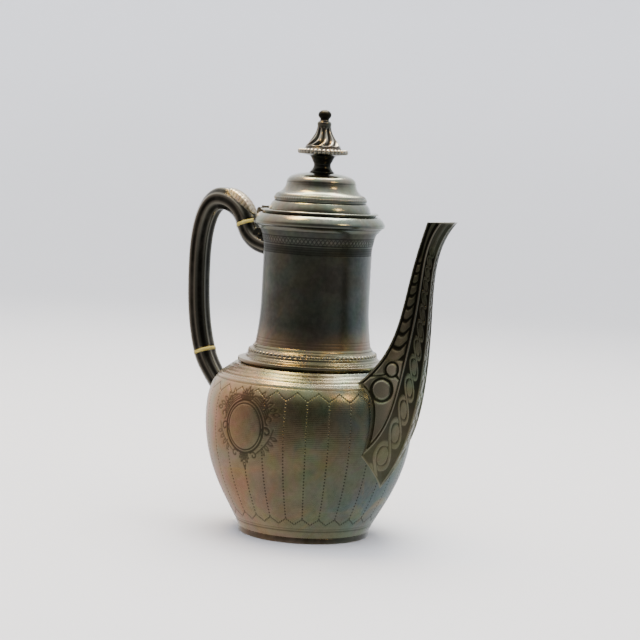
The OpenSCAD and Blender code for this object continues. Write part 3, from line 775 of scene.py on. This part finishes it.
def side_relief(p, t, edges):
    """Relief of a point on the side face. t is 0 at the lower edge and 1 at the upper."""
    z = p[:, 2]
    from_low, from_top, from_body, discs = edges
    border = np.minimum(from_top, from_body)
    mouth = step(z, 158, 165)
    upper = step(z, 100, 112)
    field = step(border, 1.7, 2.4) * step(from_low, 1.3 + 0.6 * upper, 1.9 + 0.8 * upper)
    # scrolls, one above the other, with a swinging groove between them
    count = waves(z) + 0.42 * (t - 0.5) + 0.2 * np.sin(2 * math.pi * (t - 0.4))
    part = count - np.floor(count)
    pillow = np.clip(np.sin(math.pi * part), 0, 1) ** 0.6
    scrolls = step(pillow, 0.3, 0.95) * step(count, -0.05, 0.1)
    # two discs, each in a black ring, and the plain blade below them
    low_disc, high_disc = discs
    ring = bump(low_disc - 6.2, 1.7) + step(low_disc, 5.4, 5.8) * step(low_disc, 6.9, 6.5)
    crescent = bump(high_disc - 4.0, 1.3)
    ground = 0.85 * step(z, 107.5, 105) * (1 - np.clip(ring, 0, 1)) * (1 - np.clip(crescent, 0, 1))
    swag = np.abs(z - 97.3 - 1.2 * np.sin(2 * math.pi * (t - 0.3)))
    ground = ground * (1 - bump(swag, 1.2) * step(low_disc, 6.0, 7.0))
    ground = np.maximum(ground, np.maximum(step(low_disc, 5.3, 4.9), step(high_disc, 3.4, 3.0)))
    raised = np.maximum(ground, scrolls * step(high_disc, 4.6, 5.4) * step(z, 103.5, 106))
    # long flutes up to the mouth
    flute = np.clip(np.cos(2 * math.pi * (t - 0.5) * 1.5), 0, 1)
    raised = raised * (1 - mouth) + mouth * (0.3 + 0.5 * flute)
    raised = raised * field
    edge = step(np.minimum(border, from_low), 1.0, 0.5)
    top = np.maximum(raised, edge)
    light = 1.0 - 0.8 * step(z, 98, 112)
    return np.where(edge > raised, 0.6 * edge, light * raised) - 0.95 * (1 - top), raised, edge


def links(s):
    """Counts the eyes of the interlace up the lower face: whole in the middle of each."""
    return np.log(np.maximum(1 - (s - 15.9) / 178.8, 0.05)) / math.log(0.915)


def low_relief(p, t, s, width, edges):
    """Relief of a point on the lower face. t is 0 at the keel and 1 at the lower edge."""
    from_keel, from_low, from_body = edges
    border = np.minimum(np.minimum(from_keel, from_low), from_body)
    count = links(s)
    pitch = (178.8 - (s - 15.9)) * (1 - 0.915)
    across = (t - 0.52) * width
    turn = math.pi * count
    reach = np.minimum(0.5 * pitch, np.maximum(width / 2 - 1.6, 0.8))
    c = np.cos(turn)
    swing = reach * c * (1.15 - 0.15 * c * c)
    lean = reach * np.sin(turn) * (1.15 - 0.45 * c * c) * math.pi / pitch
    slant = np.sqrt(1 + lean * lean)
    one, two = np.abs(across - swing) / slant, np.abs(across + swing) / slant
    above, below = np.where(lean < 0, one, two), np.where(lean < 0, two, one)
    thick = np.maximum(0.1 * pitch, 0.55)
    band = np.maximum(step(above, thick, thick * 0.6),
                      step(below, thick, thick * 0.6) * step(above, thick * 1.1, thick * 1.6))
    part = (count - np.round(count)) * pitch
    size = np.minimum(0.335 * pitch, reach - thick - 0.4)
    eye = np.hypot(part, across * 0.335 * pitch / np.maximum(size, 0.3)) / (0.335 * pitch)
    disc = step(eye, 1.0, 0.87) * step(pitch, 4.6, 6.0)
    mouth = step(s, 131, 136)
    flute = np.clip(np.cos(2 * math.pi * (t - 0.5) * 1.5), 0, 1)
    raised = np.maximum(0.92 * band * step(s, 2, 4), disc)
    raised = raised * (1 - mouth) + mouth * (0.35 + 0.65 * flute)
    raised = raised * step(border, 0.6, 1.0)
    edge = step(border, 0.8, 0.4)
    top = np.maximum(raised, edge)
    light = np.where(disc > band, 0.04, 0.3)
    return np.where(edge > raised, 0.6 * edge, light * raised) - 0.66 * (1 - top), raised, edge


def nearest(points, line):
    """Distance from each point to a line of many points."""
    best = np.full(len(points), 1e9)
    for a, b in zip(line, line[1:]):
        d = b - a
        t = np.clip((points - a) @ d / (d @ d), 0, 1)
        best = np.minimum(best, np.linalg.norm(points - a - t[:, None] * d, axis=1))
    return best


def root_gap(points):
    """How far points lie above the straight edge at the root of the spout's lower face."""
    turn = np.degrees(np.arctan2(np.abs(points[..., 1]), points[..., 0]))
    return points[..., 2] - 32.5 - 0.95 * turn


SPOUT_ROWS = 330
SIDE_COLUMNS, LOW_COLUMNS, UPPER_COLUMNS = 70, 46, 8
LOW_DISC, HIGH_DISC = (0.113, 0.58), (0.188, 0.60)     # (w, t) of the discs on the side face


def on_side(w, t):
    _, lower, upper, _ = spout_edges(w)
    return lower + (upper - lower) * t


def spout_half():
    """Rows of points from the keel over the -Y side to the inner edge, with their relief."""
    ws = np.linspace(0, 1, SPOUT_ROWS)
    keel, lower, upper, ridge = [np.array(e) for e in zip(*[spout_edges(w) for w in ws])]
    t_low = np.arange(LOW_COLUMNS) / LOW_COLUMNS
    t_side = np.arange(SIDE_COLUMNS) / SIDE_COLUMNS
    t_top = np.linspace(0, 1, UPPER_COLUMNS + 1)

    def span(a, b, t):
        return a[:, None] + (b - a)[:, None] * t[None, :, None]

    faces = [span(keel, lower, t_low), span(lower, upper, t_side), span(upper, ridge, t_top)]
    flat = [f.reshape(-1, 3) for f in faces]
    body_gap = [np.hypot(f[:, 0], f[:, 1]) - body_at(np.clip(f[:, 2], 3, shoulder_z)) for f in flat]
    body_gap = [np.where(f[:, 2] > shoulder_z, 99, g) for f, g in zip(flat, body_gap)]
    # lower face
    mid = (keel + lower) / 2
    run = np.r_[0, np.cumsum(np.linalg.norm(np.diff(mid, axis=0), axis=1))]
    width = np.linalg.norm(lower - keel, axis=1)
    tt = (t_low[None, :] + 0 * ws[:, None]).ravel()
    ss, wd = np.repeat(run, LOW_COLUMNS), np.repeat(width, LOW_COLUMNS)
    shade_low, up_low, edge_low = low_relief(
        flat[0], tt, ss, wd,
        (nearest(flat[0], keel[::4]), nearest(flat[0], lower[::4]), root_gap(flat[0]) * 0.8))
    # side face
    tt = (t_side[None, :] + 0 * ws[:, None]).ravel()
    discs = [np.linalg.norm(flat[1] - on_side(*place), axis=1) for place in (LOW_DISC, HIGH_DISC)]
    shade_side, up_side, edge_side = side_relief(
        flat[1], tt, (nearest(flat[1], lower[::4]), nearest(flat[1], upper[::4]), body_gap[1] * 1.2, discs))
    normals = []
    for face, first, second in ((0, keel, lower), (1, lower, upper)):
        along = np.gradient((first + second) / 2, axis=0)
        normal = np.cross(second - first, along)
        normal /= np.linalg.norm(normal, axis=1)[:, None]
        away = (first + second) / 2 - (keel + ridge) / 2
        normal *= np.sign((normal * away).sum(1))[:, None]
        normals.append(np.repeat(normal, faces[face].shape[1], 0))
    # the ground between the raised parts is sunk, less and less towards the lip
    for face, top, depth in ((0, np.maximum(up_low, edge_low), 0.45), (1, np.maximum(up_side, edge_side), 0.7)):
        fade = np.repeat(step(ws, 0.995, 0.975), faces[face].shape[1])
        sunk = flat[face] - normals[face] * ((1 - top) * depth * fade)[:, None]
        faces[face] = sunk.reshape(faces[face].shape)
    shades = [shade_low.reshape(SPOUT_ROWS, -1), shade_side.reshape(SPOUT_ROWS, -1),
              np.zeros((SPOUT_ROWS, UPPER_COLUMNS + 1))]
    return np.concatenate(faces, 1), np.concatenate(shades, 1), ws


def keep_outside(points, radius_at, depth, z_max):
    """Points that lie inside a turned surface are moved out to just under it."""
    out = np.hypot(points[:, 0], points[:, 1])
    floor = radius_at(points[:, 2]) - depth
    push = (out < floor) & (points[:, 2] < z_max)
    points[push, :2] *= (floor[push] / out[push])[:, None]
    return points


def add_spout():
    half, shade, ws = spout_half()
    # the root of the lower face lies on the body, down to its straight edge
    foot = half[:, :LOW_COLUMNS]
    out = np.hypot(foot[..., 0], foot[..., 1])
    rest = body_at(foot[..., 2]) + 0.4 * step(root_gap(foot), 0, 0.5)
    lift = (root_gap(foot) > 0) & (out < rest) & (foot[..., 2] < 60)
    foot[lift, :2] *= (rest / out)[lift][:, None]
    outer = np.concatenate([half, (half * [1, -1, 1])[:, ::-1][:, 1:-1]], 1)
    relief = np.concatenate([shade, shade[:, ::-1][:, 1:-1]], 1)
    columns = outer.shape[1]
    # the bore: the same ring taken in by the wall, from the lip back to the root
    steps = [np.linspace(0, 1, n, endpoint=False) for n in (LOW_COLUMNS, SIDE_COLUMNS)]
    bore = []
    for w in np.linspace(1, 0, 60):
        keel, lower, upper, ridge = spout_edges(w, SPOUT_WALL)
        ring = np.concatenate([
            keel + (lower - keel) * steps[0][:, None], lower + (upper - lower) * steps[1][:, None],
            upper + (ridge - upper) * np.linspace(0, 1, UPPER_COLUMNS + 1)[:, None]])
        bore.append(np.concatenate([ring, (ring * [1, -1, 1])[::-1][1:-1]]))
    lip = (outer[-1] + bore[0]) / 2 + [0, 0, 0.12]
    rows = np.concatenate([outer, lip[None], np.array(bore)])
    shades = np.concatenate([relief, np.ones((1, columns)), np.full((len(bore), columns), -0.5)])
    shades[SPOUT_ROWS - 3:SPOUT_ROWS] = 0.9
    points = keep_outside(rows.reshape(-1, 3), body_at, 0.5, shoulder_z)
    make("spout_detail", points, grid_quads(len(rows), columns, True), "pot", "spout",
         materials["spout"], shades.ravel())


# ---- handle ----
GRIP = 12.8                           # across the flats
BORE = 10.4
LOW_LEAN, TOP_LEAN = math.radians(21.2), math.radians(20)
low_ring, low_dir = np.array([-81.4, 95.6]), np.array([-math.sin(LOW_LEAN), math.cos(LOW_LEAN)])
top_ring, top_dir = np.array([-52.9, 173.3]), np.array([-math.sin(TOP_LEAN), math.cos(TOP_LEAN)])
grip_side, grip_top = np.array([-88.9, 148]), np.array([-71.8, 186.6])
HALF_T = 1.1
grip_curves = [
    [low_ring + HALF_T * low_dir, low_ring + 18 * low_dir, grip_side - [0, 17], grip_side],
    [grip_side, grip_side + [0, 25.5], grip_top - [10.3, 0], grip_top],
    [grip_top, grip_top + [9, 0], top_ring + 8 * top_dir, top_ring + HALF_T * top_dir]]
top_socket = [top_ring - HALF_T * top_dir, top_ring - 9 * top_dir, [-42, 160.5], [-28, 160.5]]
low_socket = [low_ring - HALF_T * low_dir, low_ring - 9 * low_dir, [-68, 76], [-54, 64]]


def octagon(size, bevel):
    """(out, side) of the points round an eight-sided section with its arrises eased."""
    r = size / 2 / math.cos(math.radians(22.5))
    corners = [r * np.array([math.cos(a), math.sin(a)]) for a in np.radians(22.5 + 45 * np.arange(8))]
    out = []
    for k in range(8):
        a, b, c = corners[k - 1], corners[k], corners[(k + 1) % 8]
        before = b + (a - b) / np.linalg.norm(a - b) * bevel
        after = b + (c - b) / np.linalg.norm(c - b) * bevel
        out += [before, (before + after) / 4 + b / 2, after, (b + c) / 2]
    return np.array(out)


# relief round the section, high on the arrises so they come out lighter: partly wear, partly a painted highlight
ARRIS_WEAR_AND_HIGHLIGHT = np.tile([0.75, 1.0, 0.75, -0.12], 8)


def ring_at(p, d, section):
    d = np.array(d) / np.linalg.norm(d)
    return np.c_[p[0] - d[1] * section[:, 0], -section[:, 1], p[1] + d[0] * section[:, 0]]


def sweep(curves, steps, start, end, bevel=0.55):
    rings = []
    total = sum(steps)
    done = 0
    for c, n in zip(curves, steps):
        ts = np.linspace(0, 1, n + 1)[(1 if done else 0):]
        for p, d, t in zip(bezier(c, ts), slope(c, ts), ts):
            share = (done + t * n) / total
            rings.append(ring_at(p, d, octagon(start + (end - start) * share, bevel)))
        done += n
    return rings


def add_handle():
    outer = sweep(grip_curves, (50, 60, 50), GRIP, GRIP)
    inner = sweep(grip_curves, (14, 20, 16), BORE, BORE)[::-1]
    eased = [ring_at(grip_curves[0][0], slope(grip_curves[0], [0])[0], octagon(GRIP - 0.5, 0.5))]
    last = [ring_at(grip_curves[2][3], slope(grip_curves[2], [1])[0], octagon(GRIP - 0.5, 0.5))]
    rings = eased + outer[1:-1] + last + inner
    points, quads = loft(rings, capped=False)
    relief = np.concatenate([np.tile(ARRIS_WEAR_AND_HIGHLIGHT, len(rings) - len(inner)), np.zeros(len(inner) * 32)])
    make("handle_grip_detail", points, quads, "pot", "handle_grip", materials["handle"], relief)

    for name, line, size, radius_at, z_max in (
            ("upper_socket", top_socket, 9.5, neck_at, 999),
            ("lower_socket", low_socket, 10.5, body_at, 999)):
        points, quads = loft(sweep([line], (48,), GRIP, size))
        points = keep_outside(points, radius_at, 0.5, z_max)
        relief = np.tile(ARRIS_WEAR_AND_HIGHLIGHT, len(points) // 32)
        if name == "upper_socket":
            more, faces = volute()
            faces = faces + len(points)
            relief = np.concatenate([relief, np.zeros(len(more))])
            points, quads = np.vstack([points, more]), np.vstack([quads, faces])
        make(name + "_detail", points, quads, "pot", name, materials["handle"], relief)


def volute():
    """The scroll that closes the upper socket: a ring with a sunk middle and an eye, on both sides."""
    centre, r, half = np.array([-40.6, 0, 166.8]), 4.8, 4.8
    side = [[0, half + 0.35], [0.9, half + 0.2], [1.5, half - 0.5], [2.4, half - 0.9], [3.0, half - 0.2],
            [3.9, half + 0.05], [4.6, half - 0.15], [r, half - 0.7]]
    outline = fillet(side + [[a, -b] for a, b in side[::-1]], 0.3)
    turns = even_turns(48)
    rings = [np.c_[o[0] * np.cos(turns), np.full(48, o[1]), o[0] * np.sin(turns)] + centre for o in outline]
    return np.vstack(rings), grid_quads(len(rings), 48, False)


def add_insulators():
    circle = even_turns(32) + math.radians(22.5 - 4)
    plug = np.c_[4.3 * np.cos(circle), 4.3 * np.sin(circle)]
    for name, c, d in (("upper_insulator", top_ring, top_dir), ("lower_insulator", low_ring, low_dir)):
        rings = []
        for place, section in ((-8.1, plug), (-HALF_T, plug), (-HALF_T, octagon(12.4, 0.5)),
                               (-0.75, octagon(13.1, 0.5)), (0, octagon(13.25, 0.5)), (0.75, octagon(13.1, 0.5)),
                               (HALF_T, octagon(12.4, 0.5)), (HALF_T, plug), (8.1, plug)):
            rings.append(ring_at(c + d * place, d, section))
        points, quads = loft(rings)
        make(name + "_detail", points, quads, "pot", name, materials["bone"])


def add_thumb_leaf():
    """A leaf on the outside of the hook, with a midrib and side veins."""
    first, last, n, m = 2 / 14, 13 / 14, 90, 34
    h, f = GRIP / 2 + 0.03, GRIP / 2 * math.tan(math.radians(22.5))
    top, under, shade = [], [], []
    for s in np.linspace(0, 1, n):
        t = first + (last - first) * s
        p, d = bezier(grip_curves[2], [t])[0], slope(grip_curves[2], [t])[0]
        half = f + (0.3 + 2.6 * math.sin(math.pi * s ** 0.75)) * math.sqrt(2)
        half *= 1 - 0.03 * (0.5 + 0.5 * math.cos(2 * math.pi * s * 7))
        half *= min(1, 0.15 + math.sqrt(min(s, 1 - s) * 7))
        q = np.linspace(-1, 1, m)
        a = q * half
        past = np.maximum(np.abs(a) - f, 0)
        out = h - past / math.sqrt(2)
        side = np.sign(a) * (np.minimum(np.abs(a), f) + past / math.sqrt(2))
        vein = 0.5 + 0.5 * np.cos(2 * math.pi * (s * 9 - 1.1 * np.abs(q)))
        rib = bump(q, 0.13)
        lift = 0.25 + 0.4 * (1 - np.abs(q) ** 2.2) + 0.07 * vein * (1 - rib) + 0.1 * rib
        tilt = np.where(np.abs(a) > f, 1 / math.sqrt(2), 0)
        cover = np.c_[out + lift * np.sqrt(1 - tilt ** 2), side + np.sign(a) * lift * tilt]
        top.append(ring_at(p, d, cover))
        under.append(ring_at(p, d, np.c_[out, side]))
        veined = np.clip(vein - 0.6 + rib, -0.5, 0.6)
        # the leaf's rim gets full relief, so it comes out lighter: partly wear, partly a painted highlight along
        # the edge
        shade.append(np.r_[np.where(np.abs(q) > 0.93, 1, veined), np.zeros(m)])
    rings = [np.vstack([a, b[::-1]]) for a, b in zip(top, under)]
    points, quads = loft(rings)
    blank = np.zeros(2 * m)
    relief = np.concatenate([blank] + shade + [blank])
    make("thumb_leaf_detail", points, quads, "pot", "thumb_leaf", materials["leaf"], relief)


def dress_cad_nodes():
    """Small or hidden CAD pieces stay as they are and get a finish; the two hinge leaves also get slightly eased
    edges.
    """
    finishes = {"base_plate": "collar", "insulator_pins": "handle", "hinge_body_leaf": "rim", "hinge_pin": "rim",
                "hinge_lid_leaf": "lid", "finial_stud": "collar", "finial_washer": "collar",
                "finial_nut": "collar"}
    for node, finish in finishes.items():
        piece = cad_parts[node]
        piece.data.materials.clear()
        piece.data.materials.append(materials[finish])
        if node in ("hinge_body_leaf", "hinge_lid_leaf"):
            edges = piece.modifiers.new("eased", "BEVEL")
            edges.width, edges.segments, edges.limit_method = 0.15 * MM, 2, "ANGLE"


# ---- studio ----
def add_backdrop():
    """A pale floor that sweeps up into a round wall."""
    t = np.linspace(0, math.pi / 2, 14)
    sweep_up = np.c_[1.6 + 0.9 * np.sin(t), 0.9 - 0.9 * np.cos(t)]
    outline = np.vstack([[[0, 0]], [[0.2, 0]], [[1.5, 0]], sweep_up, [[2.5, 3.0]]])
    turns = even_turns(96)
    points = np.stack([outline[:, :1] * np.cos(turns), outline[:, :1] * np.sin(turns),
                       outline[:, 1:] + 0 * turns], -1).reshape(-1, 3)
    mesh = bpy.data.meshes.new("backdrop")
    mesh.from_pydata(points.tolist(), [], grid_quads(len(outline), 96, False).tolist())
    mesh.shade_smooth()
    mesh.materials.append(floor_material())
    backdrop = bpy.data.objects.new("backdrop", mesh)
    bpy.context.scene.collection.objects.link(backdrop)
    backdrop.visible_glossy = False


def add_light(name, azimuth, elevation, distance, size, power, colour, mirrored=True):
    """A soft area light that faces the pot's middle. azimuth is from the camera, positive to its right."""
    a = VIEW_AZIMUTH + math.radians(azimuth)
    e = math.radians(elevation)
    away = Vector((math.sin(a) * math.cos(e), -math.cos(a) * math.cos(e), math.sin(e)))
    data = bpy.data.lights.new(name, "AREA")
    data.shape = "RECTANGLE"
    data.size, data.size_y = size
    data.energy = power
    data.color = colour
    lamp = bpy.data.objects.new(name, data)
    bpy.context.scene.collection.objects.link(lamp)
    lamp.location = Vector((0, 0, 0.12)) + away * distance
    lamp.rotation_mode = "QUATERNION"
    lamp.rotation_quaternion = (-away).to_track_quat("-Z", "Y")
    lamp.visible_glossy = mirrored


def add_world():
    """Soft surroundings: pale behind the pot, dim on the camera's side."""
    world = bpy.data.worlds.new("studio")
    bpy.context.scene.world = world
    world.use_nodes = True
    tree = world.node_tree
    tree.nodes.clear()
    place = tree.nodes.new("ShaderNodeTexCoord")

    def dot(vector):
        made = tree.nodes.new("ShaderNodeVectorMath")
        made.operation = "DOT_PRODUCT"
        tree.links.new(place.outputs["Generated"], made.inputs[0])
        made.inputs[1].default_value = vector
        return made.outputs["Value"]

    def ramp(value, low_value, high_value, stops):
        spread = tree.nodes.new("ShaderNodeMapRange")
        tree.links.new(value, spread.inputs["Value"])
        spread.inputs["From Min"].default_value = low_value
        spread.inputs["From Max"].default_value = high_value
        made = tree.nodes.new("ShaderNodeValToRGB")
        tree.links.new(spread.outputs[0], made.inputs[0])
        while len(made.color_ramp.elements) < len(stops):
            made.color_ramp.elements.new(0.5)
        for element, (place_, colour) in zip(made.color_ramp.elements, stops):
            element.position = place_
            element.color = (*colour, 1)
        return made.outputs[0]

    def mix(share, a, b, how="MIX"):
        made = tree.nodes.new("ShaderNodeMix")
        made.data_type = "RGBA"
        made.blend_type = how
        for socket, value in ((made.inputs["Factor"], share), (made.inputs[6], a), (made.inputs[7], b)):
            if isinstance(value, bpy.types.NodeSocket):
                tree.links.new(value, socket)
            elif isinstance(value, tuple):
                socket.default_value = (*value, 1)
            else:
                socket.default_value = value
        return made.outputs[2]

    # round the horizon: dim towards the camera, bright behind the pot
    facing = ramp(dot(tuple(TO_CAMERA)), -1, 1,
                  [(0.0, (1.25, 1.3, 1.42)), (0.08, (1.0, 1.03, 1.1)), (0.22, (0.66, 0.67, 0.7)),
                   (0.4, (0.48, 0.48, 0.49)), (0.6, (0.31, 0.31, 0.305)), (0.8, (0.18, 0.18, 0.17)),
                   (0.95, (0.1, 0.1, 0.093)), (1.0, (0.088, 0.088, 0.082))])
    tint = ramp(dot(tuple(RIGHT)), -1, 1,
                [(0.0, (1.12, 0.98, 0.90)), (0.5, (1, 1, 1)), (1.0, (0.92, 1.0, 1.06))])
    level = mix(1.0, facing, tint, "MULTIPLY")
    # a pale table below, and a broad lamp overhead that leans back
    table = ramp(dot((0, 0, 1)), -0.75, 0.0, [(0.0, (0.5, 0.5, 0.5)), (0.3, (0.68, 0.68, 0.68)),
                                              (0.65, (0.38, 0.38, 0.38)), (0.88, (0.11, 0.11, 0.11)),
                                              (1.0, (0, 0, 0))])
    above = tuple(-TO_CAMERA * math.sin(math.radians(25)) + [0, 0, math.cos(math.radians(25))])
    lamp = ramp(dot(above), 0.1, 1.0, [(0.0, (0, 0, 0)), (0.08, (0.05, 0.05, 0.05)), (0.45, (0.23, 0.23, 0.23)),
                                       (0.85, (0.38, 0.38, 0.38)), (0.97, (0.95, 0.95, 0.95))])
    around = mix(table, level, (0.57, 0.555, 0.525))
    around = mix(lamp, around, (2.3, 2.25, 2.1))
    background = tree.nodes.new("ShaderNodeBackground")
    tree.links.new(around, background.inputs["Color"])
    background.inputs["Strength"].default_value = 1.0
    output = tree.nodes.new("ShaderNodeOutputWorld")
    tree.links.new(background.outputs[0], output.inputs["Surface"])


add_camera()
add_body()
add_collar()
add_neck()
add_rim()
add_lid()
add_finial()
add_spout()
add_handle()
add_insulators()
add_thumb_leaf()
dress_cad_nodes()
add_backdrop()
add_world()
add_light("key", 176, 66, 1.3, (0.75, 0.8), 32, (1.0, 0.92, 0.76))
add_light("amber", -106, 70, 1.3, (0.4, 0.3), 9, (1.0, 0.6, 0.18))
add_light("glint", 48, 40, 1.2, (0.16, 0.2), 1.5, (1.0, 0.62, 0.25))
add_light("ceiling", 0, 88, 2.6, (3.0, 3.0), 180, (0.97, 0.98, 1.0), mirrored=False)
add_light("front", -10, 35, 2.4, (2.0, 1.4), 36, (0.97, 0.98, 1.0), mirrored=False)
